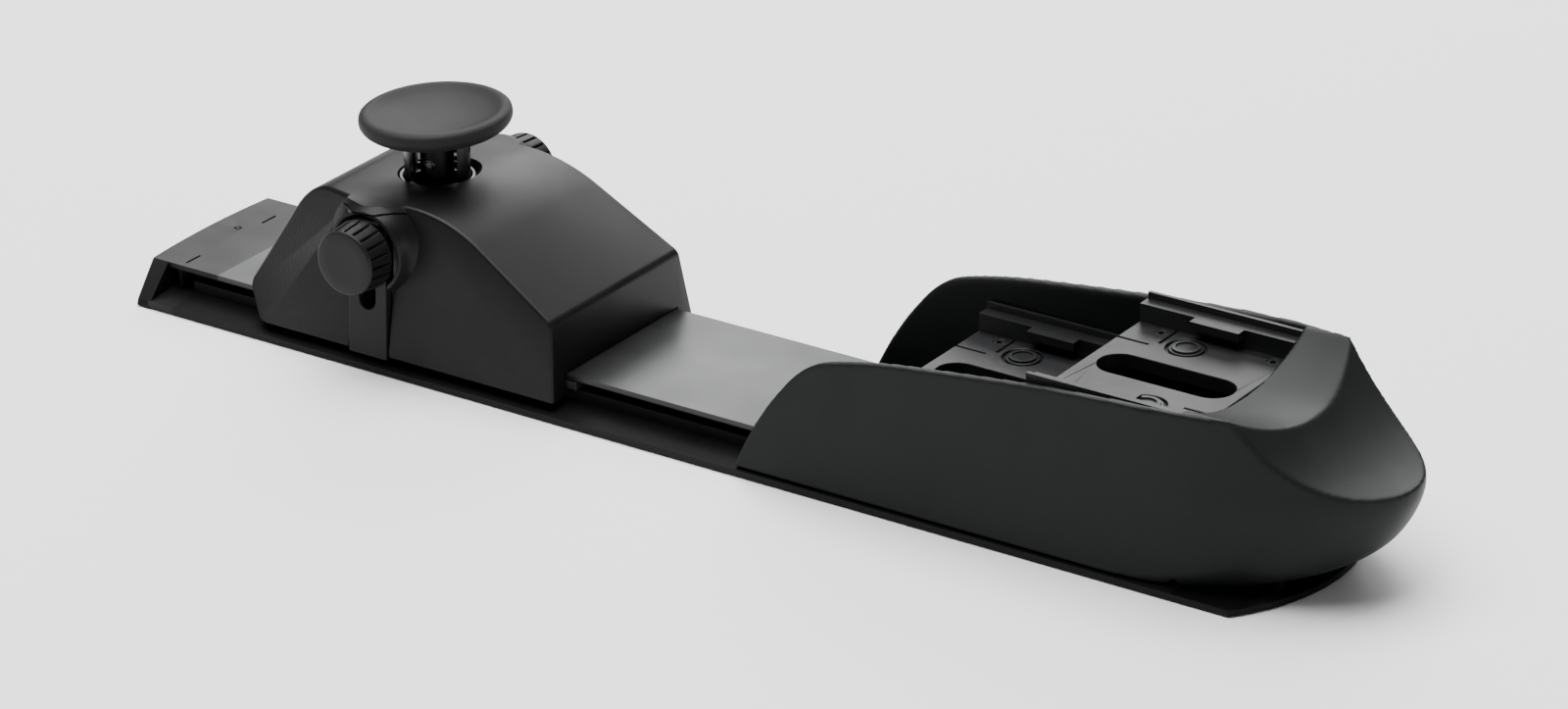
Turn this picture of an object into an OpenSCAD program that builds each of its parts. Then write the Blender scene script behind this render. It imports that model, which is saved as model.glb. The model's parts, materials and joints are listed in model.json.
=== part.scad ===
// Support rail with a sliding, height-adjustable rest pad and a stepped foot seat.
// +X runs along the rail to the nose, +Y across it, +Z up.
// The origin is the middle of the footprint, on the rail's flat underside.

/* [Rail] */
// Half width of the rail's thin side flanges
flange_hw = 33.8; // [33:0.1:35]
// Thickness of the flange at its outer edge
flange_edge_t = 1.7; // [1.4:0.1:2]
// Half width of the sliding top plate
plate_hw = 25; // [24.6:0.1:25.2]
// Height of the top plate's upper face
plate_top = 10.4; // [10.2:0.1:10.5]
// Thickness of the top plate
plate_t = 1.4; // [1.2:0.1:1.6]
// Minor radius of the small tripod thread, a quarter inch size
quarter_thread_r = 2.6; // [2.5:0.05:2.7]
// Minor radius of the large tripod thread, a three eighths size
large_thread_r = 4; // [3.9:0.05:4.1]

/* [Carriage] */
// Where the post and both thumb screws stand along the rail
post_x = -107; // [-108:0.5:-106]
// Height of the thumb screws' axis
screw_z = 33; // [32.5:0.1:33.5]
// Wall thickness of the carriage cover
cover_t = 2.2; // [1.8:0.1:2.4]
// Radius of the thumb screw heads at the back
knob_r = 9.6; // [9:0.1:9.7]
// Number of grip flutes on a thumb screw head
flutes = 20; // [12:1:24]
// Width of the vertical slot in each clamp plate
slot_w = 5.3; // [5.2:0.1:5.6]

/* [Rest pad] */
// Radius of the round rest pad
pad_r = 20.5; // [19:0.5:20.5]
// Height of the rim of the rest pad
pad_top = 64.3; // [63.5:0.1:65]
// Outer radius of the forked post
post_r = 8.8; // [8.6:0.1:8.9]
// Angle of the fork's open side, from the front
fork_turn = 27; // [0:1:45]

/* [Nose] */
// Half width of the nose housing
nose_hw = 33.3; // [33:0.1:33.6]
// Furthest point of the nose
nose_tip = 186.3; // [185.7:0.2:187.3]
// Height of the lower seat plate
lower_z = 27.3; // [27:0.1:27.6]
// Height of the upper seat plate
upper_z = 41.6; // [41.2:0.1:41.8]
// Half of the gap between the two jaws of a seat
jaw_gap_hw = 25; // [24.5:0.1:25]
// Length of one seat plate along the rail
seat_len = 47.4; // [47:0.1:47.5]

/* [Hidden] */
$fn = 64;
rail_x0 = -172;
cap_x0 = -186.3;
cap_joint = -163;
body_end = 138;
arc_r = 52.6;
arc_tip = 166.7;
rail_h = plate_top - plate_t;
wall_hw = 24;
groove_hw = 21;
groove_z = 6.2;
deck_x = 138.2;
deck_r = 60;
wall_stations = [10, 12, 15.6, 20, 24.4, 28.7, 34, 40.4, 53.7, 71, 90, 103, 135, 187];
nose_z = 2.25;
seat_x = 46.4;
seat_t = 4;
step = 47.4;
seat_screw_x = [8, 40];
seat_screw_y = 22;
stud_r = 2.35;
cover_post_top = 17;
index_x = -175.3;
well_x = 11.3;
well_y = 14.3;
block_z = [22.5, 35.9];
pin_z = 52;
quarter_x = -6;
large_x = 24;
eps = 0.05;

// ---- outlines ----

function unit(v) = v / norm(v);

// Points of the arc that rounds corner p, between its neighbours a and b.
function corner(a, p, b, r, n = 8) =
    let (u = unit(a - p), v = unit(b - p), half = acos(u * v) / 2)
    r == 0 ? [p] :
    let (c = p + unit(u + v) * r / sin(half), s = p + u * r / tan(half), e = p + v * r / tan(half))
    let (a0 = atan2(s[1] - c[1], s[0] - c[0]), a1 = atan2(e[1] - c[1], e[0] - c[0]))
    let (sweep = a1 - a0 > 180 ? a1 - a0 - 360 : a1 - a0 < -180 ? a1 - a0 + 360 : a1 - a0)
    [for (i = [0 : n]) c + r * [cos(a0 + sweep * i / n), sin(a0 + sweep * i / n)]];

// An outline from rows of [x, y, radius], with every corner rounded.
function rounded(rows) =
    let (m = len(rows), xy = [for (q = rows) [q[0], q[1]]])
    [for (i = [0 : m - 1]) each corner(xy[(i + m - 1) % m], xy[i], xy[(i + 1) % m], rows[i][2])];

// Carriage profile in X and Z, drawn inwards by t.
function cover_profile(t) = rounded([
    [-144 + t, 4.3 - (t > 0 ? 2 : 0), 0], [-151.2 + 1.15 * t, 11.5, 3], [-133.5 + 0.6 * t, 43.3 - t, 17 - t],
    [-86 - 0.2 * t, 46.8 - t, 44], [-49.5 - 0.9 * t, 25.3 - 0.6 * t, 3], [-47 - t, 4.3 - (t > 0 ? 2 : 0), 0]
]);

// Carriage section in Y and Z, with drafted sides, drawn inwards by t.
function cover_section(t) = [
    [-32.4 + t, 0], [32.4 - t, 0], [32.4 - t, 4.3], [25.6 - t, 48], [-25.6 + t, 48], [-32.4 + t, 4.3]
];

// Top of the nose housing's side walls at station x.
function wall_top(x) = lookup(x, [
    [10, 2.4], [12, 7.5], [15.6, 14.5], [20, 21.6], [24.4, 27.5], [28.7, 32.4], [34, 36.2], [40.4, 38.4],
    [53.7, 41.2], [71, 43.5], [90, 45.7], [103, 47], [135, 49], [187, 50.6]
]);

// Plan outline of the nose, a long D that ends at x = tip.
function nose_plan(tip) =
    let (x0 = 115, m = 15, xs = [5, for (i = [0 : m]) x0 + (tip - x0) * sin(i * 90 / m)])
    let (half = [for (x = xs) nose_hw * sqrt(max(0, 1 - pow(max(0, (x - x0) / (tip - x0)), 2.6)))])
    concat([for (i = [0 : m + 1]) [xs[i], -half[i]]], [for (i = [m : -1 : 0]) [xs[i], half[i]]]);

// ---- helpers ----

// Outline in X and Z, carried along Y.
module prism_y(points, y0, y1) {
    translate([0, y1, 0]) rotate([90, 0, 0]) linear_extrude(y1 - y0) polygon(points);
}

// Outline in Y and Z, carried along X.
module prism_x(points, x0, x1) {
    translate([x0, 0, 0]) rotate([90, 0, 90]) linear_extrude(x1 - x0) polygon(points);
}

module box(x, y, z) {
    translate([x[0], y[0], z[0]]) cube([x[1] - x[0], y[1] - y[0], z[1] - z[0]]);
}

// Cylinder along Y from y0 to y1.
module rod_y(r, x, z, y0, y1) {
    translate([x, y1, z]) rotate([90, 0, 0]) cylinder(r = r, h = y1 - y0);
}

module both_sides() {
    children();
    mirror([0, 1, 0]) children();
}

// Flat obround of length l and width w along X, centred.
module obround(l, w, h) {
    box([-l / 2 + w / 2, l / 2 - w / 2], [-w / 2, w / 2], [0, h]);
    for (s = [-1, 1]) translate([s * (l - w) / 2, 0, 0]) cylinder(d = w, h = h);
}

// Countersunk screw with its flat head at z = 0, pointing up.
module flat_screw(r, l) {
    difference() {
        union() {
            cylinder(r1 = 2 * r, r2 = r, h = r);
            cylinder(r = r, h = l);
        }
        translate([0, 0, -eps]) cylinder(r = r * 0.7, h = r * 0.8, $fn = 6);
    }
}

// The hole that a countersunk screw fills.
module flat_screw_hole(r, l) {
    translate([0, 0, -eps]) cylinder(r1 = 2 * r + eps, r2 = r + eps, h = r + eps);
    translate([0, 0, -eps]) cylinder(r = r, h = l + 2 * eps);
}

// ---- rail ----

plate_screw_x = [-150, -60, 60, 132];

module plate_screw_places() {
    for (x = plate_screw_x, y = [-5, 5]) translate([x, y, 0]) children();
}

module frame_screw_places() {
    for (x = [56, 84, 116, 131]) translate([x, x > 100 ? 2 * (x < 120 ? -1 : 1) : 0, 0]) children();
}

module rail_body() {
    half = [[flange_hw, 0], [flange_hw, flange_edge_t], [wall_hw, 3.2], [wall_hw, groove_z],
            [groove_hw, groove_z], [groove_hw, rail_h]];
    outline = concat(half, [for (i = [len(half) - 1 : -1 : 0]) [-half[i][0], half[i][1]]]);
    color("#1d1e20") difference() {
        union() {
            prism_x(outline, rail_x0, body_end);
            intersection() {
                box([body_end - 1, arc_tip], [-flange_hw, flange_hw], [0, flange_edge_t]);
                translate([arc_tip - arc_r, 0, -1]) cylinder(r = arc_r, h = 4, $fn = 180);
            }
        }
        for (s = [-1, 1]) box([rail_x0 - 1, body_end + 1], [s * 13.5 - 4.5, s * 13.5 + 4.5], [2.4, 6.8]);
        plate_screw_places() flat_screw_hole(1.5, rail_h);
        translate([quarter_x, 0, -1]) cylinder(r = 6, h = 20);
        translate([large_x, 0, -1]) cylinder(r = 7.5, h = 20);
        frame_screw_places() translate([0, 0, rail_h - 5]) cylinder(r = 1.5, h = 10);
        housing_screw_places() translate([0, 0, -eps]) cylinder(r1 = 2.65, r2 = 1.5, h = 1.35);
        housing_screw_places() cylinder(r = 1.5, h = 10);
    }
}

module top_plate() {
    color("#3a3b3d") difference() {
        box([cap_joint, body_end], [-plate_hw, plate_hw], [rail_h, plate_top]);
        plate_screw_places() cylinder(r = 1.5, h = rail_h + plate_t / 2);
        frame_screw_places() cylinder(r = 1.5, h = 20);
    }
}

module end_cap() {
    wedge = [[-34, 0], [34, 0], [33.4, 1.6], [plate_hw, plate_top], [-plate_hw, plate_top], [-33.4, 1.6]];
    base = [[-33.8, 0], [33.8, 0], [33.8, 1.7], [19, 3.4], [-19, 3.4], [-33.8, 1.7]];
    color("#242527") difference() {
        union() {
            intersection() {
                prism_x(wedge, cap_x0, cap_x0 + 6.5);
                translate([cap_x0 + 250, 0, -1]) cylinder(r = 250, h = 20, $fn = 360);
            }
            prism_x(base, cap_x0 + 6, rail_x0);
            box([cap_x0 + 6, rail_x0], [-19, 19], [1, plate_top]);
            box([cap_x0 + 6, rail_x0], [-plate_hw, plate_hw], [rail_h, plate_top]);
            box([rail_x0 - eps, cap_joint], [-plate_hw, plate_hw], [rail_h, plate_top]);
            both_sides() box([cap_x0 + 9, cap_x0 + 10.2], [18, 24], [1.5, plate_top - 0.5]);
            for (s = [-1, 1]) box([rail_x0 - 1, rail_x0 + 12], [s * 13.5 - 4.3, s * 13.5 + 4.3], [2.6, 6.6]);
        }
        for (y = [-20, 13]) box([index_x - 0.35, index_x + 0.35], [y - 3, y + 3], [plate_top - 0.4, 20]);
        translate([index_x - 3.4, 3.7, plate_top - 0.4]) difference() {
            cylinder(r = 1.1, h = 2);
            translate([0, 0, -1]) cylinder(r = 0.6, h = 4);
        }
        for (s = [-1, 1]) translate([cap_x0 - 1, s * 13.5, 4.6]) rotate([0, 90, 0]) {
            cylinder(r = 1.25, h = 30);
            cylinder(r = 2.4, h = 3.4);
        }
    }
}

module end_cap_screws() {
    color("#55565a") for (s = [-1, 1])
        translate([cap_x0 + 0.6, s * 13.5, 4.6]) rotate([0, 90, 0]) difference() {
        union() {
            cylinder(r = 2.3, h = 1.7);
            cylinder(r = 1.2, h = 24);
        }
        translate([0, 0, -eps]) cylinder(r = 1.1, h = 1.2, $fn = 6);
    }
}

module plate_screws() {
    color("#55565a") plate_screw_places() flat_screw(1.45, rail_h + plate_t / 2 - 0.1);
}

module bush(r_out, r_in) {
    color("#8b8d90") difference() {
        cylinder(r = r_out - 0.02, h = rail_h - 0.1);
        translate([0, 0, -1]) cylinder(r = r_in, h = 20);
    }
}

module quarter_bush() { translate([quarter_x, 0, 0]) bush(6, quarter_thread_r); }

module large_bush() { translate([large_x, 0, 0]) bush(7.5, large_thread_r); }

// ---- nose ----

// The closed outer form: plan outlines at rising heights, tucked in towards the underside.
module nose_form() {
    levels = [[nose_z, 158], [4.5, 166.5], [8, 173.5], [13, 179.5], [19, 183.4], [25, nose_tip - 0.2],
              [29, nose_tip], [34, nose_tip - 1], [51, nose_tip - 3]];
    for (i = [0 : len(levels) - 2]) hull() for (q = [levels[i], levels[i + 1]])
        translate([0, 0, q[0]]) linear_extrude(0.02) polygon(nose_plan(q[1]));
}

module housing_screw_places() {
    for (y = [-12, 12]) translate([156, y, 0]) children();
}

module nose_housing() {
    pocket = [[deck_x + 3, 0], [150, 0], [150, 12], [163, 15], [168, 25], [162, 33], [deck_x + 3, 38]];
    above_walls = concat([[0, 60], [0, 2]], [for (x = wall_stations) [x, wall_top(x)]], [[200, 60]]);
    color("#26292a") difference() {
        nose_form();
        prism_y(above_walls, -40, 40);
        box([0, deck_x], [-30.6, 30.6], [0, 60]);
        // Dished end deck, level with the upper seat in the middle.
        translate([deck_x - 0.1, 0, upper_z + deck_r]) rotate([0, 90, 0])
            cylinder(r = deck_r, h = 80, $fn = 180);
        // Sloped end facet.
        translate([190.7, 40, 77.3]) rotate([90, 0, 0]) cylinder(r = 48.2, h = 80, $fn = 180);
        prism_y(pocket, -21, 21);
        housing_screw_places() cylinder(r = 1.5, h = 10);
    }
}

module housing_screws() {
    color("#55565a") housing_screw_places() difference() {
        union() {
            cylinder(r1 = 2.6, r2 = 1.45, h = 1.3);
            cylinder(r = 1.45, h = 9.6);
        }
        translate([0, 0, -eps]) cylinder(r = 0.9, h = 0.8, $fn = 6);
    }
}

module nose_frame() {
    far_x = seat_x + 2 * seat_len - 4;
    mid_x = seat_x + seat_len;
    side = [[seat_x, plate_top], [far_x, plate_top], [far_x, upper_z - seat_t], [mid_x, upper_z - seat_t],
            [mid_x, lower_z - seat_t], [seat_x, lower_z - seat_t]];
    color("#232426") difference() {
        union() {
            both_sides() prism_y(side, 26.5, 30);
            box([seat_x, seat_x + 3], [-30, 30], [plate_top, lower_z - seat_t]);
            box([seat_x + seat_len, seat_x + seat_len + 3], [-30, 30], [plate_top, upper_z - seat_t]);
            box([seat_x, seat_x + 2 * seat_len - 4], [-30, 30], [plate_top, plate_top + 2.4]);
            frame_screw_places() cylinder(r = 4.6, h = plate_top + 6);
            seat_screw_places(0) cylinder(r = 4, h = lower_z - seat_t);
            seat_screw_places(step) cylinder(r = 4, h = upper_z - seat_t);
        }
        box([-200, 200], [-40, 40], [-1, plate_top]);
        frame_screw_places() cylinder(r = 1.5, h = 40);
        for (x = [0, step]) seat_screw_places(x) cylinder(r = 1.25, h = 60);
    }
}

module frame_screws() {
    color("#606266") frame_screw_places() difference() {
        union() {
            translate([0, 0, rail_h - 4.8]) cylinder(r = 1.45, h = 13);
            translate([0, 0, plate_top + 6]) cylinder(r = 3, h = 2.2);
        }
        translate([0, 0, plate_top + 7]) cylinder(r = 1.3, h = 4, $fn = 6);
    }
}

// Places of the four screws under a seat plate that starts x beyond the first.
module seat_screw_places(x) {
    both_sides() for (at = seat_screw_x) translate([seat_x + x + at, seat_screw_y, 0]) children();
}

// One seat plate with its obround slot, jaw screw recesses and jaw foot outlines.
module seat_plate(z) {
    difference() {
        translate([seat_x, 0, z - seat_t]) difference() {
            box([0, seat_len - 3.2], [-30, 30], [0, seat_t]);
            translate([22.3, 0, -1]) obround(38, 12, seat_t + 2);
            for (s = [-1, 1]) translate([22.3 + s * -4.2, s * 17, seat_t - 0.8]) {
                difference() {
                    cylinder(r = 5.3, h = 2);
                    translate([0, 0, -1]) cylinder(r = 4.5, h = 4);
                }
            }
            for (s = [-1, 1]) translate([22.3 - s * 4.2, s * 17, -1]) cylinder(r = 2, h = seat_t + 2);
            for (turn = [0, 180]) translate([22.3, 0, 0]) rotate([0, 0, turn]) translate([-22.3, 0, 0]) {
                box([-1, 9], [13.6, 14.3], [seat_t - 0.6, seat_t + 1]);
                box([10.7, 11.4], [16, jaw_gap_hw], [seat_t - 0.6, seat_t + 1]);
            }
        }
        seat_screw_places(0) cylinder(r = 1.5, h = 60);
    }
}

module lower_plate() { color("#2d2e30") seat_plate(lower_z); }

module upper_plate() { color("#2d2e30") translate([step, 0, 0]) seat_plate(upper_z); }

// A jaw along the far edge of a seat plate, with a raised back ridge and an undercut centre tab.
module jaw(z, x0) {
    section = [[jaw_gap_hw, 0], [30, 0], [30, 6.6], [28.9, 6.6], [28.9, 4.9], [jaw_gap_hw, 4.9]];
    translate([x0, 0, z]) difference() {
        union() {
            prism_x(section, 0, seat_len - 3.3);
            box([16, 30], [jaw_gap_hw - 3, jaw_gap_hw + 1], [2.6, 4.9]);
        }
        for (x = [8, 37]) translate([x, 27, -1]) cylinder(r = 1.2, h = 4);
    }
}

module jaw_near(z, x0) {
    translate([2 * x0 + seat_len - 3.3, 0, 0]) rotate([0, 0, 180]) jaw(z, x0);
}

module lower_jaw_far() { color("#303133") jaw(lower_z, seat_x); }
module lower_jaw_near() { color("#303133") jaw_near(lower_z, seat_x); }
module upper_jaw_far() { color("#303133") jaw(upper_z, seat_x + step); }
module upper_jaw_near() { color("#303133") jaw_near(upper_z, seat_x + step); }

module jaw_screws() {
    color("#46484b") for (q = [[0, lower_z], [step, upper_z]], s = [-1, 1])
        translate([seat_x + q[0] + 22.3 - s * 4.2, s * 17, q[1]]) difference() {
            union() {
                translate([0, 0, -seat_t - 3]) cylinder(r = 1.95, h = seat_t + 3.4);
                translate([0, 0, 0]) cylinder(r = 3.7, h = 0.5);
            }
            translate([0, 0, 0.1]) cylinder(r = 2.7, h = 2);
        }
}

module seat_screws() {
    color("#46484b") for (q = [[0, lower_z], [step, upper_z]]) seat_screw_places(q[0])
        translate([0, 0, q[1] - 10]) difference() {
            union() {
                cylinder(r = 1.2, h = 9);
                translate([0, 0, 7.2]) cylinder(r = 1.45, h = 2.6);
            }
            translate([0, 0, 9]) cylinder(r = 0.9, h = 2, $fn = 6);
        }
}

// ---- carriage ----

module cover_screw_places() {
    for (x = [-136, -66], s = [-1, 1]) translate([x, s * 17, 0]) children();
}

module carriage_cover() {
    color("#1f2022") difference() {
        union() {
            intersection() {
                prism_y(cover_profile(0), -40, 40);
                prism_x(cover_section(0), -160, -40);
            }
            both_sides() rod_y(11.4, post_x, screw_z, 24, 32.2);
        }
        intersection() {
            prism_y(cover_profile(cover_t), -40, 40);
            prism_x(cover_section(cover_t), -160, -40);
        }
        both_sides() rod_y(9.9, post_x, screw_z, 20, 40);
        both_sides() box([post_x - 6.6, post_x + 6.6], [22, 40], [0, screw_z]);
        translate([post_x, 0, 30]) cylinder(r = 10.25, h = 30);
        // The mouth that straddles the rail's top plate.
        box([-160, -40], [-25.7, 25.7], [0, plate_top + 0.4]);
    }
    color("#1f2022") cover_screw_places() translate([0, 0, 15]) difference() {
        cylinder(r = 3, h = cover_post_top);
        translate([0, 0, -1]) cylinder(r = 1.2, h = 10);
    }
}

module carriage_chassis() {
    color("#3b3d40") difference() {
        union() {
            box([-141, -54], [-28, 28], [11.2, 14.6]);
            both_sides() box([-141, -54], [25.6, 28], [4.8, 14]);
            box([post_x - 16, post_x + 16], [-20, 20], [11.2, 38]);
            both_sides() box([post_x - 9, post_x + 9], [19, 23.8], [11.2, 38]);
        }
        box([post_x - well_x, post_x + well_x], [-well_y, well_y], [0, 60]);
        both_sides() box([post_x - slot_w / 2, post_x + slot_w / 2], [5, 40], [screw_z - 11.5, screw_z + 3]);
        both_sides() rod_y(slot_w / 2, post_x, screw_z + 2.4, 5, 40);
        both_sides() box([post_x - 6.7, post_x + 6.7], [24.5, 40], [0, 60]);
        cover_screw_places() cylinder(r = 1.5, h = 40);
    }
}

module glide_pads() {
    color("#c9c7bf") for (x = [-132, -79], s = [-1, 1])
        box([x, x + 10], [s * 20 - 3, s * 20 + 3], [plate_top + 0.05, 11.2]);
}

module gib_strips() {
    color("#8a8c8f") both_sides() difference() {
        box([-140, -44.5], [21.4, 25.6], [6.6, 8.6]);
        box([post_x - 6.9, post_x + 6.9], [20, 40], [0, 20]);
    }
}

// Slotted clamp plate with a hooked foot that reaches under the top plate.
module clamp_plate() {
    hook = [[29.2, 40], [31.25, 40], [32.5, 3.6], [29.4, 3.6], [29.4, 6.7], [22, 6.7], [22, 8.5],
            [29.6, 8.5]];
    difference() {
        prism_x(hook, post_x - 6.2, post_x + 6.2);
        box([post_x - slot_w / 2, post_x + slot_w / 2], [25, 40], [screw_z - 13.5, screw_z + 2.6]);
        rod_y(slot_w / 2, post_x, screw_z - 13.5, 25, 40);
        rod_y(slot_w / 2, post_x, screw_z + 2.6, 25, 40);
    }
}

module rear_clamp_plate() { color("#2b2c2e") clamp_plate(); }
module front_clamp_plate() { color("#2b2c2e") mirror([0, 1, 0]) clamp_plate(); }

module guide_collar() {
    color("#17181a") translate([post_x, 0, 38]) difference() {
        union() {
            cylinder(r = 10.15, h = 6.2);
            cylinder(r = 13.5, h = 1.6);
        }
        translate([0, 0, -1]) cylinder(r = 9.2, h = 20);
    }
}

module cover_screws() {
    color("#55565a") cover_screw_places() translate([0, 0, 10.9]) difference() {
        union() {
            cylinder(r = 1.15, h = 10);
            cylinder(r = 1.45, h = 3.6);
        }
        translate([0, 0, -1]) cylinder(r = 0.8, h = 2, $fn = 6);
    }
}

// ---- height-adjustable support ----

module lift_block() {
    color("#76787c") difference() {
        box([post_x - well_x + 0.3, post_x + well_x - 0.3], [-well_y + 0.3, well_y - 0.3], block_z);
        translate([post_x, 0, 0]) cylinder(r = 6.07, h = 60);
        both_sides() rod_y(2.42, post_x, screw_z, 7, 20);
    }
}

module retaining_ring() {
    color("#9a9ca0") translate([post_x, 0, block_z[0] - 1.1]) difference() {
        cylinder(r = 8, h = 1);
        translate([0, 0, -1]) cylinder(r = 4.9, h = 4);
        box([0, 10], [-1.2, 1.2], [-1, 3]);
    }
}

module post_fork() {
    slot_hw = 6.3;
    color("#141516") translate([post_x, 0, 0]) rotate([0, 0, fork_turn]) difference() {
        union() {
            translate([0, 0, block_z[1] + 0.15]) cylinder(r = post_r, h = 55 - block_z[1] - 0.15);
            translate([0, 0, block_z[0]]) cylinder(r = 6, h = 20);
            translate([0, 0, block_z[0] - 2]) cylinder(r = 4.85, h = 4);
        }
        translate([0, 0, 39]) cylinder(r = 6.9, h = 40);
        box([-slot_hw, slot_hw], [-20, 20], [43, 60]);
        translate([-20, 0, pin_z]) rotate([0, 90, 0]) cylinder(r = 1.5, h = 40);
    }
}

module tilt_pin() {
    color("#c4c6c9") translate([post_x, 0, pin_z]) rotate([0, 0, fork_turn]) translate([-8.3, 0, 0])
        rotate([0, 90, 0]) cylinder(r = 1.5, h = 16.6);
}

module pad_stem() {
    color("#5a5c5f") translate([post_x, 0, 0]) rotate([0, 0, fork_turn]) difference() {
        union() {
            translate([0, 0, 44.7]) cylinder(r = 4.5, h = 12.6);
            translate([0, 0, 56.9]) cylinder(r = 3, h = 2);
        }
        translate([-20, 0, pin_z]) rotate([0, 90, 0]) cylinder(r = 1.56, h = 40);
        rotate([0, 0, -18]) translate([0, -1.4, 48.2]) rotate([90, 0, 0]) cylinder(r = 1.5, h = 6);
    }
}

module pad_core() {
    color("#3a3b3d") translate([post_x, 0, 57.3]) difference() {
        cylinder(r = 14, h = 1.6);
        translate([0, 0, -1]) cylinder(r = 3, h = 4);
    }
}

module pad_cushion() {
    rim = pad_top - 1.6;
    color("#434446") translate([post_x, 0, 0]) difference() {
        rotate_extrude($fn = 120) polygon(concat(
            [[0, 56.5], [15.5, 56.5]],
            [for (a = [-80 : 20 : 60]) [pad_r - 3 + 3 * cos(a), 60.6 + 2.6 * sin(a)]],
            [[pad_r - 2.4, rim + 1.4], [pad_r - 3.4, pad_top], [pad_r - 4.6, pad_top - 0.3]],
            [for (i = [1 : 6]) [(pad_r - 4.6) * cos(i * 15), 60.4 + 3.6 * pow(cos(i * 15), 2)]]));
        translate([0, 0, 57.3]) cylinder(r = 14, h = 1.6);
        translate([0, 0, 50]) cylinder(r = 4.5, h = 7.4);
    }
}

module grub_screw() {
    color("#d8dadc") translate([post_x, 0, 48.2]) rotate([90, 0, fork_turn - 18]) difference() {
        translate([0, 0, 1.5]) cylinder(r = 1.45, h = 3.1);
        translate([0, 0, 3.6]) cylinder(r = 0.7, h = 4, $fn = 6);
    }
}

// ---- thumb screws ----

module knob() {
    color("#343537") difference() {
        union() {
            rod_y(knob_r, post_x, screw_z, -35.5, -33);
            translate([post_x, -35.5, screw_z]) rotate([90, 0, 0]) {
                cylinder(r1 = knob_r, r2 = knob_r - 0.6, h = 5.2);
                translate([0, 0, 5.2]) cylinder(r1 = knob_r - 0.6, r2 = knob_r - 1.2, h = 0.8);
            }
        }
        for (i = [0 : flutes - 1]) translate([post_x, 0, screw_z]) rotate([0, i * 360 / flutes, 0])
            rod_y(0.75, knob_r + 0.2, 0, -40.2, -32);
        rod_y(stud_r, post_x, screw_z, -38, -32);
    }
}

module stud() {
    color("#8f9194") rod_y(stud_r, post_x, screw_z, -38, -7.6);
}

module front_knob() { knob(); }
module rear_knob() { mirror([0, 1, 0]) knob(); }
module front_stud() { stud(); }
module rear_stud() { mirror([0, 1, 0]) stud(); }

rail_body();
top_plate();
end_cap();
end_cap_screws();
plate_screws();
quarter_bush();
large_bush();
nose_housing();
housing_screws();
nose_frame();
lower_plate();
upper_plate();
lower_jaw_far();
lower_jaw_near();
upper_jaw_far();
upper_jaw_near();
jaw_screws();
frame_screws();
seat_screws();
carriage_cover();
carriage_chassis();
glide_pads();
gib_strips();
front_clamp_plate();
rear_clamp_plate();
guide_collar();
cover_screws();
lift_block();
retaining_ring();
post_fork();
tilt_pin();
pad_stem();
pad_core();
pad_cushion();
grub_screw();
front_knob();
front_stud();
rear_knob();
rear_stud();
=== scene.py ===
import json
import math

import bmesh
import bpy
from mathutils import Matrix, Vector


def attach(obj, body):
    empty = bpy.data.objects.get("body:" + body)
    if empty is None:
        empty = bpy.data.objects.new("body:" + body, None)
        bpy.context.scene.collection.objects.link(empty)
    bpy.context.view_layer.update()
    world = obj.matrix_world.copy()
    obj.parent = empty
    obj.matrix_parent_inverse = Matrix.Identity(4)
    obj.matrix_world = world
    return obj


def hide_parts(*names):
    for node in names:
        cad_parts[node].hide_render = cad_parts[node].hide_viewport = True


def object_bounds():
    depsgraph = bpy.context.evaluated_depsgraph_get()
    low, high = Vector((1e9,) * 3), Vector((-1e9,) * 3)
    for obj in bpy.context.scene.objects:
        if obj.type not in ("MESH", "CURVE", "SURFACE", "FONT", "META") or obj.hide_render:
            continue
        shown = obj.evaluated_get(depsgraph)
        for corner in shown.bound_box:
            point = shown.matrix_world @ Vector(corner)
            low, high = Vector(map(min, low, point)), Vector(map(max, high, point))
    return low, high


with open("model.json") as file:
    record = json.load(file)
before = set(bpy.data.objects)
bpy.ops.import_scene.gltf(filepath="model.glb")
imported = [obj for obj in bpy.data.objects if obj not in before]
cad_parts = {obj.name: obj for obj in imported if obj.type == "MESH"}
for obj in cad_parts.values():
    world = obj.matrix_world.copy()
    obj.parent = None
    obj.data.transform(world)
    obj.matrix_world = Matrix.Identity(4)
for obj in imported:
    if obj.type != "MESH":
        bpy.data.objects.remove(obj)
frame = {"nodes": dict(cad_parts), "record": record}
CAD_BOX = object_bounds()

MM = 0.001

# Carriage, in millimetres
POST_X = -107.0
SCREW_Z = 33.0
COVER_FOOT_Z = 4.3
COVER_HALF_FOOT = 32.4
COVER_DRAFT = 6.8 / 43.7
COVER_WALL = 2.2
CORNER_CUT = 5.5
# Extra depth of the cavity's own corner cut
CAVITY_INSET = 2.0
MOUTH_HALF = 25.7
MOUTH_TOP = 10.8
PANEL_FRONT_X = POST_X + 6.5

# Nose, in millimetres
NOSE_HALF = 33.3
NOSE_BACK_X = 5.0
NOSE_ROUND_X = 115.0
NOSE_ROUND_POWER = 2.6
NOSE_VOXEL = 0.65
BAY_HALF = 30.6
DECK_X = 138.2
DECK_Z = 41.6
DECK_R = 60.0
FACET_X, FACET_Z, FACET_R = 190.7, 77.3, 48.2

# Steps in each rounded corner of the cover profile
COVER_STEPS = 14
# A height above the nose, for the tops of its cutters
ABOVE_NOSE = 60


# ---- camera, floor and light ----

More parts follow.
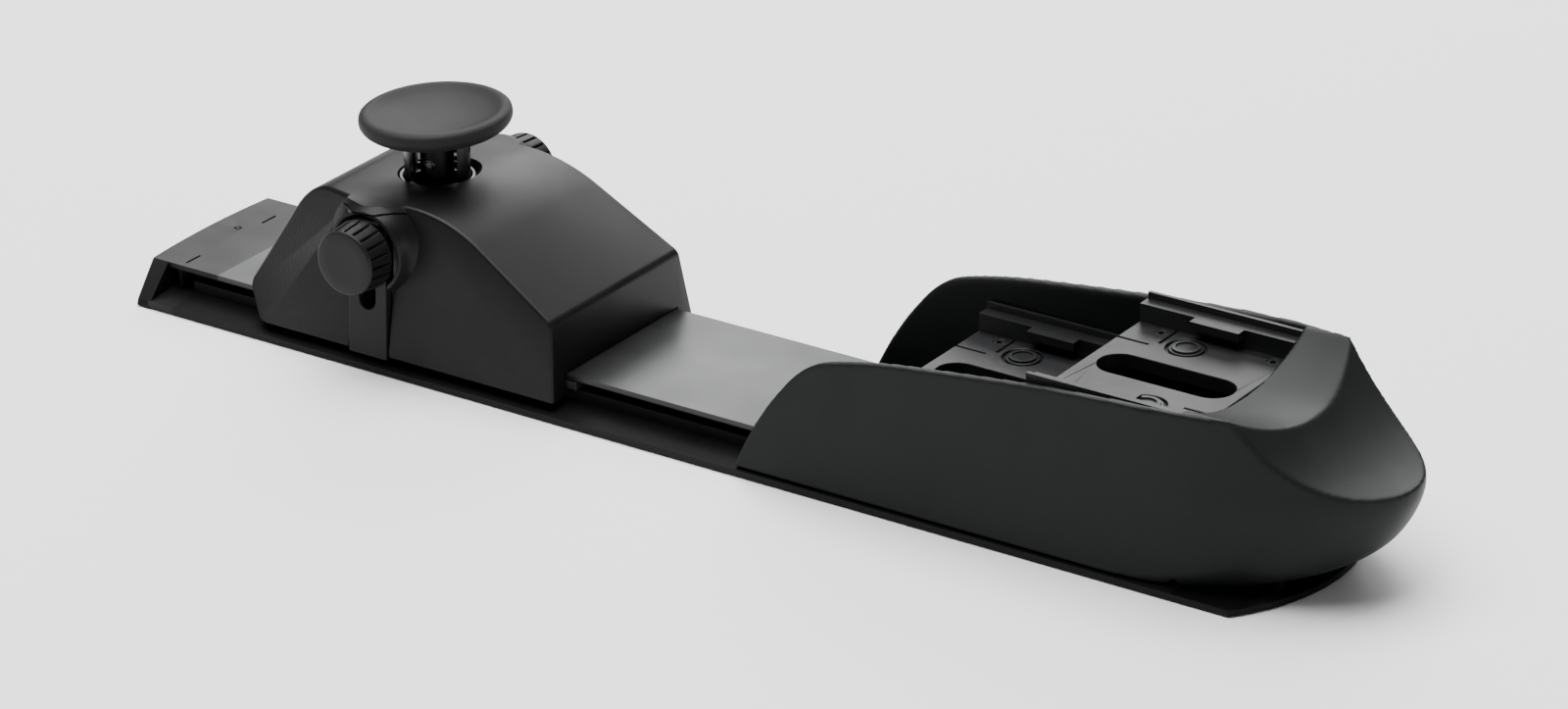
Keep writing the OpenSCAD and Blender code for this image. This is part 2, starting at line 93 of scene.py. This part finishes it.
def make_camera():
    turn, rise, distance = math.radians(33.6), math.radians(24.25), 1.589
    back = Vector((math.sin(turn) * math.cos(rise), -math.cos(turn) * math.cos(rise), math.sin(rise)))
    data = bpy.data.cameras.new("camera")
    data.sensor_width = 36.0
    data.lens = 137.66
    cam = bpy.data.objects.new("camera", data)
    cam.location = Vector((-0.0204, 0.0354, 0.0)) + back * distance
    cam.rotation_euler = (-back).to_track_quat("-Z", "Y").to_euler()
    bpy.context.collection.objects.link(cam)
    bpy.context.scene.camera = cam


def area_light(name, place, target, size, power):
    data = bpy.data.lights.new(name, "AREA")
    data.shape = "RECTANGLE"
    data.size, data.size_y = size
    data.energy = power
    light = bpy.data.objects.new(name, data)
    light.location = place
    light.rotation_euler = (Vector(target) - Vector(place)).to_track_quat("-Z", "Y").to_euler()
    bpy.context.collection.objects.link(light)


def make_stage():
    floor = mesh_object("floor", [(-4, -4, 0), (4, -4, 0), (4, 4, 0), (-4, 4, 0)], [(0, 1, 2, 3)])
    floor.location.z = CAD_BOX[0].z - 0.0004
    mat = bpy.data.materials.new("floor_white")
    mat.use_nodes = True
    shader = mat.node_tree.nodes["Principled BSDF"]
    shader.inputs["Base Color"].default_value = (0.9, 0.9, 0.9, 1)
    shader.inputs["Roughness"].default_value = 0.9
    floor.data.materials.append(mat)
    world = bpy.context.scene.world or bpy.data.worlds.new("world")
    bpy.context.scene.world = world
    world.use_nodes = True
    tree = world.node_tree
    split = tree.nodes.new("ShaderNodeSeparateXYZ")
    tree.links.new(tree.nodes.new("ShaderNodeTexCoord").outputs["Generated"], split.inputs[0])
    glow = span(tree, split.outputs["Z"], 0.05, 1.0, 0.03, 0.26)
    tree.nodes["Background"].inputs["Color"].default_value = (1, 1, 1, 1)
    tree.links.new(glow, tree.nodes["Background"].inputs["Strength"])
    area_light("top_soft", (-0.5, 0.1, 2.3), (0, 0, 0), (2.6, 2.2), 170)
    area_light("back_panel", (-0.8, 1.9, 1.1), (0, 0, 0.02), (1.7, 0.9), 38)
    area_light("front_left", (-1.3, -0.9, 0.35), (-0.1, 0, 0.02), (0.5, 0.4), 0.8)
    area_light("right_fill", (1.7, -0.2, 0.3), (0.05, 0, 0.02), (0.9, 0.5), 7)


# ---- materials ----

def noise(tree, vector, size_mm, detail):
    node = tree.nodes.new("ShaderNodeTexNoise")
    node.inputs["Scale"].default_value = 1.0 / (size_mm * MM)
    node.inputs["Detail"].default_value = detail
    tree.links.new(vector, node.inputs["Vector"])
    return node.outputs["Fac"]


def span(tree, value, lo, hi, out_lo, out_hi):
    node = tree.nodes.new("ShaderNodeMapRange")
    for key, number in (("From Min", lo), ("From Max", hi), ("To Min", out_lo), ("To Max", out_hi)):
        node.inputs[key].default_value = number
    tree.links.new(value, node.inputs["Value"])
    return node.outputs["Result"]


def blend_colour(tree, factor, a, b):
    node = tree.nodes.new("ShaderNodeMix")
    node.data_type = "RGBA"
    tree.links.new(factor, node.inputs[0])
    for socket, colour in ((node.inputs[6], a), (node.inputs[7], b)):
        if isinstance(colour, (tuple, list)):
            socket.default_value = (*colour, 1.0)
        else:
            tree.links.new(colour, socket)
    return node.outputs[2]


def surface(name, colour, rough, metal=0.0, grain=0.35, depth=0.02, mottle=0.12, wear=0.5, specular=0.16,
            brushed=False):
    """Mottled colour, fine grain bump, uneven roughness and lighter worn edges."""
    mat = bpy.data.materials.new(name)
    mat.use_nodes = True
    tree = mat.node_tree
    shader = tree.nodes["Principled BSDF"]
    coords = tree.nodes.new("ShaderNodeTexCoord").outputs["Object"]
    if brushed:
        stretch = tree.nodes.new("ShaderNodeMapping")
        stretch.inputs["Scale"].default_value = (0.04, 1.0, 1.0)
        tree.links.new(coords, stretch.inputs["Vector"])
        fine_coords = stretch.outputs["Vector"]
    else:
        fine_coords = coords
    broad = noise(tree, coords, 24.0, 3.0)
    fine = noise(tree, fine_coords, grain, 2.0)
    dark = tuple(c * (1 - mottle) for c in colour)
    light = tuple(c * (1 + mottle) for c in colour)
    tone = blend_colour(tree, span(tree, broad, 0.35, 0.65, 0.0, 1.0), dark, light)
    speck = blend_colour(tree, span(tree, fine, 0.3, 0.7, 0.0, 0.35), tone, light)
    pointy = tree.nodes.new("ShaderNodeNewGeometry").outputs["Pointiness"]
    edge = span(tree, pointy, 0.52, 0.62, 0.0, wear)
    worn = tuple(min(1.0, c * 2.2 + 0.01) for c in colour)
    tree.links.new(blend_colour(tree, edge, speck, worn), shader.inputs["Base Color"])
    uneven = span(tree, broad, 0.3, 0.7, rough - 0.05, rough + 0.05)
    tree.links.new(uneven, shader.inputs["Roughness"])
    shader.inputs["Metallic"].default_value = metal
    shader.inputs["Specular IOR Level"].default_value = specular
    bump = tree.nodes.new("ShaderNodeBump")
    bump.inputs["Distance"].default_value = depth * MM
    bump.inputs["Strength"].default_value = 1.0
    tree.links.new(fine, bump.inputs["Height"])
    tree.links.new(bump.outputs["Normal"], shader.inputs["Normal"])
    return mat


MATERIALS = {
    "rail_anodised": surface("rail_anodised", (0.0026, 0.0027, 0.003), 0.42, grain=0.3, depth=0.008,
                             specular=0.08, brushed=True),
    "plate_anodised": surface("plate_anodised", (0.034, 0.0345, 0.0355), 0.36, 0.75, grain=0.25,
                              depth=0.006, wear=0.3),
    "cap_plastic": surface("cap_plastic", (0.0045, 0.0046, 0.0048), 0.42, grain=0.3, depth=0.02,
                           specular=0.14),
    "fastener_steel": surface("fastener_steel", (0.3, 0.3, 0.31), 0.35, 1.0, depth=0.004),
    "bush_steel": surface("bush_steel", (0.5, 0.5, 0.5), 0.3, 1.0, depth=0.004),
    "housing_rubber": surface("housing_rubber", (0.0055, 0.0064, 0.0064), 0.5, grain=0.4, depth=0.012,
                              mottle=0.08, specular=0.13),
    "seat_cast": surface("seat_cast", (0.007, 0.0072, 0.0078), 0.42, grain=0.45, depth=0.03),
    "cover_plastic": surface("cover_plastic", (0.0035, 0.0035, 0.0036), 0.42, grain=0.4, depth=0.022,
                             mottle=0.08),
    "panel_grain": surface("panel_grain", (0.0065, 0.0066, 0.0068), 0.55, grain=0.8, depth=0.09,
                           mottle=0.2),
    "chassis_alloy": surface("chassis_alloy", (0.08, 0.082, 0.086), 0.45, 0.6, depth=0.006),
    "glide_nylon": surface("glide_nylon", (0.6, 0.58, 0.52), 0.5, depth=0.01),
    "gib_alloy": surface("gib_alloy", (0.02, 0.02, 0.021), 0.45, 0.3, depth=0.006, brushed=True),
    "clamp_coated": surface("clamp_coated", (0.006, 0.0062, 0.0064), 0.46, grain=0.5, depth=0.035),
    "collar_plastic": surface("collar_plastic", (0.008, 0.008, 0.0085), 0.34, depth=0.006, specular=0.3),
    "post_black": surface("post_black", (0.006, 0.006, 0.0065), 0.34, grain=0.3, depth=0.004,
                          specular=0.22),
    "pin_steel": surface("pin_steel", (0.75, 0.76, 0.77), 0.18, 1.0, depth=0.002),
    "stem_steel": surface("stem_steel", (0.02, 0.02, 0.021), 0.36, 0.5, depth=0.004),
    "pad_rubber": surface("pad_rubber", (0.012, 0.012, 0.0124), 0.6, grain=0.3, depth=0.018,
                          mottle=0.06, wear=0.15),
    "knob_plastic": surface("knob_plastic", (0.0065, 0.0067, 0.007), 0.45, grain=0.3, depth=0.02),
}


# ---- mesh helpers, all in millimetres until the object is made ----

def mesh_object(name, verts, faces, scale=1.0):
    mesh = bpy.data.meshes.new(name)
    mesh.from_pydata([Vector(v) * scale for v in verts], [], faces)
    bm = bmesh.new()
    bm.from_mesh(mesh)
    bmesh.ops.recalc_face_normals(bm, faces=bm.faces)
    bm.to_mesh(mesh)
    bm.free()
    obj = bpy.data.objects.new(name, mesh)
    bpy.context.collection.objects.link(obj)
    return obj


def loft(name, rings, closed_ends=True):
    """A solid skin through rings of equal length."""
    n = len(rings[0])
    verts = [v for ring in rings for v in ring]
    faces = [(i * n + j, i * n + (j + 1) % n, (i + 1) * n + (j + 1) % n, (i + 1) * n + j)
             for i in range(len(rings) - 1) for j in range(n)]
    if closed_ends:
        faces += [tuple(range(n)), tuple((len(rings) - 1) * n + j for j in range(n))]
    return mesh_object(name, verts, faces, MM)


def prism_y(name, outline, y0, y1):
    return loft(name, [[(x, y, z) for x, z in outline] for y in (y0, y1)])


def block(name, x, y, z):
    return prism_y(name, [(x[0], z[0]), (x[1], z[0]), (x[1], z[1]), (x[0], z[1])], y[0], y[1])


def turned(name, profile, centre, axis, steps=128):
    """A turned solid: profile rows are (distance along the axis, radius)."""
    rings = []
    for along, radius in profile:
        ring = []
        for k in range(steps):
            a = 2 * math.pi * k / steps
            u, v = radius * math.cos(a), radius * math.sin(a)
            offset = {"X": (along, u, v), "Y": (u, along, v), "Z": (u, v, along)}[axis]
            ring.append(tuple(c + o for c, o in zip(centre, offset)))
        rings.append(ring)
    return loft(name, rings)


def bake(obj):
    """Applies the object's modifiers."""
    bpy.context.view_layer.update()
    mesh = bpy.data.meshes.new_from_object(obj.evaluated_get(bpy.context.evaluated_depsgraph_get()))
    obj.modifiers.clear()
    obj.data = mesh


def combine(obj, tools, operation):
    """Boolean of the object with each tool in turn, stopping if nothing is left."""
    for tool in tools:
        mod = obj.modifiers.new(tool.name, "BOOLEAN")
        mod.operation = operation
        mod.solver = "EXACT"
        mod.object = tool
        bake(obj)
        if not obj.data.polygons:
            raise ValueError(f"{obj.name} is empty after {operation} with {tool.name}")
        bpy.data.objects.remove(tool)


def round_edges(obj, width, segments=3, angle=30.0, welded=False):
    if welded:
        weld = obj.modifiers.new("weld", "WELD")
        weld.merge_threshold = 0.001 * MM
    mod = obj.modifiers.new("round", "BEVEL")
    mod.width = width * MM
    mod.segments = segments
    mod.limit_method = "ANGLE"
    mod.angle_limit = math.radians(angle)


def smooth(obj, angle=35.0):
    for face in obj.data.polygons:
        face.use_smooth = True
    obj.data.set_sharp_from_angle(angle=math.radians(angle))


def remesh(obj, voxel, passes):
    """Even mesh with softly rounded edges."""
    mod = obj.modifiers.new("even", "REMESH")
    mod.mode = "VOXEL"
    mod.voxel_size = voxel * MM
    mod.use_smooth_shade = True
    soft = obj.modifiers.new("soft", "SMOOTH")
    soft.factor = 0.5
    soft.iterations = passes
    bake(obj)
    for face in obj.data.polygons:
        face.use_smooth = True


def place(obj, body, slot, node):
    """Puts a finished piece on its body, in its slot, in place of its CAD node."""
    if not obj.data.materials:
        obj.data.materials.append(MATERIALS[slot])
    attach(obj, body)
    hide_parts(node)


def rounded(rows, steps=10):
    """Outline from rows of (x, y, radius), with every corner rounded."""
    out = []
    for i, (x, y, r) in enumerate(rows):
        p = Vector((x, y))
        a = Vector(rows[i - 1][:2]) - p
        b = Vector(rows[(i + 1) % len(rows)][:2]) - p
        if r == 0:
            out.append(tuple(p))
            continue
        a.normalize()
        b.normalize()
        half = math.acos(max(-1, min(1, a.dot(b)))) / 2
        c = p + (a + b).normalized() * r / math.sin(half)
        s, e = p + a * r / math.tan(half) - c, p + b * r / math.tan(half) - c
        sweep = s.angle_signed(e)
        for k in range(steps + 1):
            turn = Matrix.Rotation(-sweep * k / steps, 2)
            out.append(tuple(c + turn @ s))
    return out


# ---- carriage cover ----

def cover_half(z):
    return COVER_HALF_FOOT - max(0.0, z - COVER_FOOT_Z) * COVER_DRAFT


def cover_profile(t, steps):
    foot = COVER_FOOT_Z - (2 if t else 0)
    return rounded([
        (-144 + t, foot, 0), (-151.2 + 1.15 * t, 11.5, 3), (-133.5 + 0.6 * t, 43.3 - t, 17 - t),
        (-86 - 0.2 * t, 46.8 - t, 44), (-49.5 - 0.9 * t, 25.3 - 0.6 * t, 3), (-47 - t, foot, 0)], steps)


def cover_solid(name, t, steps):
    rings = [[(x, side * (cover_half(z) - t), z) for x, z in cover_profile(t, steps)] for side in (-1, 1)]
    return loft(name, rings)


def cut_corner(obj, points):
    """Slices the object along the plane of three points and keeps the post's side."""
    a, b, c = (Vector(p) * MM for p in points)
    normal = (b - a).cross(c - a).normalized()
    if normal.dot(Vector((POST_X, 0, 20)) * MM - a) > 0:
        normal = -normal
    bm = bmesh.new()
    bm.from_mesh(obj.data)
    geom = bm.verts[:] + bm.edges[:] + bm.faces[:]
    cut = bmesh.ops.bisect_plane(bm, geom=geom, plane_co=a, plane_no=normal, clear_outer=True)
    edges = [e for e in cut["geom_cut"] if isinstance(e, bmesh.types.BMEdge)]
    bmesh.ops.contextual_create(bm, geom=edges)
    bm.to_mesh(obj.data)
    bm.free()


# Rows of (distance from the middle plane, radius): the ring round a thumb screw and the hole in it
BOSS = [(23, 15.5), (26.8, 15), (28.6, 13), (30.3, 12), (31.6, 11.6), (32.05, 11.3), (32.2, 10.9)]
RECESS = [(20, 9.85), (31.2, 9.85), (31.8, 10.1), (32.3, 10.6), (36, 14.3)]
# Rows of (height, radius)
POST_HOLE = [(30, 10.25), (43.2, 10.25), (44.4, 10.5), (45.2, 11.2), (60, 26)]


def make_cover():
    cover = cover_solid("carriage_cover_shell", 0, COVER_STEPS)
    cavity = cover_solid("cavity", COVER_WALL, 6)
    for side in (-1, 1):
        for obj, inset in ((cover, 0), (cavity, CAVITY_INSET)):
            cut_corner(obj, [(x, side * (cover_half(z) - depth - inset), z)
                             for x, z, depth in ((-122, 34, 0), (-140, 6.5, 0), (-147, 19, CORNER_CUT))])
    round_edges(cover, 0.9, 4, 24)
    bake(cover)
    bosses, cutters = [], [cavity]
    for side in (-1, 1):
        boss = turned("boss", [(side * y, r) for y, r in BOSS], (POST_X, 0, SCREW_Z), "Y")
        combine(boss, [prism_y("trim", cover_profile(0, COVER_STEPS), -45, 45)], "INTERSECT")
        bosses.append(boss)
        cutters.append(turned("recess", [(side * y, r) for y, r in RECESS], (POST_X, 0, SCREW_Z), "Y"))
        low, high = sorted((side * 22, side * 40))
        cutters.append(block("plate_gap", (POST_X - 6.5, POST_X + 6.9), (low, high), (0, SCREW_Z)))
    combine(cover, bosses, "UNION")
    cutters.append(turned("post_hole", POST_HOLE, (POST_X, 0, 0), "Z"))
    cutters.append(block("mouth", (-160, -40), (-MOUTH_HALF, MOUTH_HALF), (0, MOUTH_TOP)))
    combine(cover, cutters, "DIFFERENCE")
    cut_parting_lines(cover)
    cover.data.materials.append(MATERIALS["cover_plastic"])
    cover.data.materials.append(MATERIALS["panel_grain"])
    for face in cover.data.polygons:
        x, y, z = (c / MM for c in face.center)
        outside = abs(y) > cover_half(z) - 6.5 and abs(face.normal.y) > 0.35
        on_panel = x < PANEL_FRONT_X and outside and z < parting_height(x)
        face.material_index = 1 if on_panel else 0
    smooth(cover, 30)
    place(cover, "carriage", "cover_plastic", "carriage_cover")


def parting_height(x):
    """Height of the seam between the side panel and the top sheet."""
    arc = sorted(p for p in cover_profile(1.5, COVER_STEPS) if p[0] < -90)
    below = [z for px, z in arc if px <= x and z > 12]
    return below[-1] if below else 50.0


def cut_parting_lines(cover):
    edges = []
    for t, end_z in ((1.3, 44.4), (1.7, 44.0)):
        line = [p for p in cover_profile(t, COVER_STEPS) if -146 < p[0] < -98 and p[1] > 14]
        edges.append(line + [(-97.0, end_z)])
    outline = edges[0] + edges[1][::-1]
    seams = [prism_y("seam_near", outline, -40, -26.2), prism_y("seam_far", outline, 26.2, 40)]
    combine(cover, seams, "DIFFERENCE")


# ---- nose housing ----

def nose_plan(tip, z):
    """A long D, straight at the back and rounded at the tip."""
    x0, steps = NOSE_ROUND_X, 60
    xs = [x0 + (tip - x0) * math.sin(math.radians(i * 90 / steps)) for i in range(steps + 1)]
    half = [NOSE_HALF * math.sqrt(max(0.0, 1 - ((x - x0) / (tip - x0)) ** NOSE_ROUND_POWER)) for x in xs]
    near = [(NOSE_BACK_X, -NOSE_HALF, z)] + [(x, -h, z) for x, h in zip(xs, half)]
    far = [(x, h, z) for x, h in zip(xs, half)][-2::-1] + [(NOSE_BACK_X, NOSE_HALF, z)]
    return near + far


# Upper edge of the side walls, as (x, height)
WALL_TOP = [(10, 2.4), (12, 7.5), (15.6, 14.5), (20, 21.6), (24.4, 27.5), (28.7, 32.4), (34, 36.2),
            (40.4, 38.4), (53.7, 41.2), (71, 43.5), (90, 45.7), (103, 47), (135, 49), (187, 50.6)]
# How far the nose reaches at each height, as (height, x)
NOSE_TIPS = [(2.25, 158), (4.5, 166.5), (8, 173.5), (13, 179.5), (19, 183.6), (25, 186.0), (29, 186.2),
             (34, 185.2), (51, 183.2)]


def spline(points, steps=8):
    """A smooth curve through the points."""
    out = []
    for i in range(len(points) - 1):
        p = [Vector(points[max(0, min(len(points) - 1, i + k))]) for k in (-1, 0, 1, 2)]
        for s in range(steps):
            t = s / steps
            v = 0.5 * (2 * p[1] + (p[2] - p[0]) * t + (2 * p[0] - 5 * p[1] + 4 * p[2] - p[3]) * t * t
                       + (3 * p[1] - p[0] - 3 * p[2] + p[3]) * t ** 3)
            out.append(tuple(v))
    return out + [tuple(points[-1])]


def make_nose():
    rings = [nose_plan(tip, z) for z, tip in spline(NOSE_TIPS, 5)]
    nose = loft("nose_housing_shell", rings)
    above = [(0, ABOVE_NOSE), (0, 1)] + spline(WALL_TOP) + [(200, ABOVE_NOSE)]
    pocket = [(DECK_X + 3, 0), (150, 0), (150, 12), (163, 15), (168, 25), (162, 33), (DECK_X + 3, 38)]
    cutters = [
        prism_y("above", above, -40, 40),
        block("bay", (-5, DECK_X), (-BAY_HALF, BAY_HALF), (0, ABOVE_NOSE)),
        turned("deck", [(DECK_X - 0.1, DECK_R), (230, DECK_R)], (0, 0, DECK_Z + DECK_R), "X", 400),
        turned("facet", [(-45, FACET_R), (45, FACET_R)], (FACET_X, 0, FACET_Z), "Y", 400),
        prism_y("pocket", pocket, -21, 21)]
    combine(nose, cutters, "DIFFERENCE")
    remesh(nose, NOSE_VOXEL, 4)
    place(nose, "rail", "housing_rubber", "nose_housing")


# ---- rest pad ----

# Rows of (height, radius), from the underside round the rim to the middle of the dish
PAD_PROFILE = [(56.6, 0.0), (56.6, 12.0), (56.7, 14.6), (57.1, 16.6), (57.8, 18.4), (58.8, 19.7),
               (60.0, 20.4), (61.2, 20.45), (62.1, 20.2), (62.7, 19.5), (62.95, 18.6), (62.85, 17.6),
               (62.4, 16.4), (61.8, 14.6), (61.3, 12.2), (60.9, 9.4), (60.65, 6.2), (60.55, 3.0), (60.5, 0.0)]
# Lean of the pad at rest, in degrees, and the horizontal axis it leans about
PAD_LEAN = 3.2
PAD_LEAN_AXIS = (0.553, -0.833, 0)
PAD_PIVOT_Z = 58


def make_pad():
    """A dished disc with a full rim, leaning a little to one side."""
    steps = 160
    rings = []
    for z, r in spline(PAD_PROFILE, 6):
        ring = []
        for k in range(steps):
            a = 2 * math.pi * k / steps
            ring.append((POST_X + r * math.cos(a), r * math.sin(a), z))
        rings.append(ring)
    pad = loft("pad_cushion_skin", rings, closed_ends=False)
    weld = pad.modifiers.new("weld", "WELD")
    weld.merge_threshold = 0.01 * MM
    bake(pad)
    lean = Matrix.Rotation(math.radians(PAD_LEAN), 4, Vector(PAD_LEAN_AXIS))
    pivot = Matrix.Translation(Vector((POST_X, 0, PAD_PIVOT_Z)) * MM)
    pad.data.transform(pivot @ lean @ pivot.inverted())
    smooth(pad, 60)
    place(pad, "pad", "pad_rubber", "pad_cushion")


# ---- thumb screws ----

FLUTES = 20
FLUTE_STEPS = 18
# Share of a flute that is rib, and the share over which the groove deepens
RIB_SHARE = 0.66
GROOVE_SLOPE = 0.16
# Rows of (distance from the middle plane, radius, groove depth)
KNOB_STATIONS = [(33.0, 7.5, 0), (33.0, 9.2, 0), (33.15, 9.5, 0.3), (33.6, 9.6, 0.75), (36.0, 9.35, 0.8),
                 (38.6, 9.1, 0.8), (40.2, 8.95, 0.7), (40.55, 8.9, 0.25), (40.7, 8.9, 0), (41.1, 8.75, 0),
                 (41.38, 8.45, 0), (41.5, 8.0, 0), (41.5, 5.0, 0), (41.42, 3.0, 0)]


def make_knob(name, side, body, node):
    """A thumb screw head with straight ribs, on one side of the carriage."""
    rings = []
    for y, r, depth in KNOB_STATIONS:
        ring = []
        for k in range(FLUTES * FLUTE_STEPS):
            phase = abs((k % FLUTE_STEPS) / FLUTE_STEPS - 0.5) * 2
            cut = depth * max(0.0, min(1.0, (phase - RIB_SHARE) / GROOVE_SLOPE))
            a = 2 * math.pi * k / (FLUTES * FLUTE_STEPS)
            ring.append((POST_X + (r - cut) * math.cos(a), side * y, SCREW_Z + (r - cut) * math.sin(a)))
        rings.append(ring)
    knob = loft(name, rings)
    smooth(knob, 40)
    place(knob, body, "knob_plastic", node)


# ---- CAD nodes that keep their shape ----

# Edge rounding of each node, in millimetres
ROUNDING = {
    "rail_body": 0.3, "top_plate": 0.25, "end_cap": 0.35, "nose_frame": 0.4, "lower_plate": 0.25,
    "upper_plate": 0.25, "lower_jaw_far": 0.3, "lower_jaw_near": 0.3, "upper_jaw_far": 0.3,
    "upper_jaw_near": 0.3, "jaw_screws": 0.15, "front_clamp_plate": 0.3, "rear_clamp_plate": 0.3,
    "guide_collar": 0.2, "post_fork": 0.2, "pad_stem": 0.2, "carriage_chassis": 0.3, "gib_strips": 0.15,
    "frame_screws": 0.12, "end_cap_screws": 0.1, "grub_screw": 0.1,
}
# Screws given another slot's darker look, so that their heads don't stand out
DARKER = {"seat_screws": "seat_cast", "frame_screws": "stem_steel"}


def dress_cad_nodes():
    slots = {row["node"]: row["material_slot"] for row in frame["record"]["subparts"]}
    for node, obj in frame["nodes"].items():
        obj.data.materials.clear()
        obj.data.materials.append(MATERIALS[DARKER.get(node, slots[node])])
        if node in ROUNDING:
            round_edges(obj, ROUNDING[node], 2, 32, welded=True)
            normals = obj.modifiers.new("normals", "WEIGHTED_NORMAL")
            normals.keep_sharp = True


make_camera()
make_stage()
dress_cad_nodes()
make_cover()
make_nose()
make_pad()
make_knob("front_knob_grip", -1, "front_screw", "front_knob")
make_knob("rear_knob_grip", 1, "rear_screw", "rear_knob")
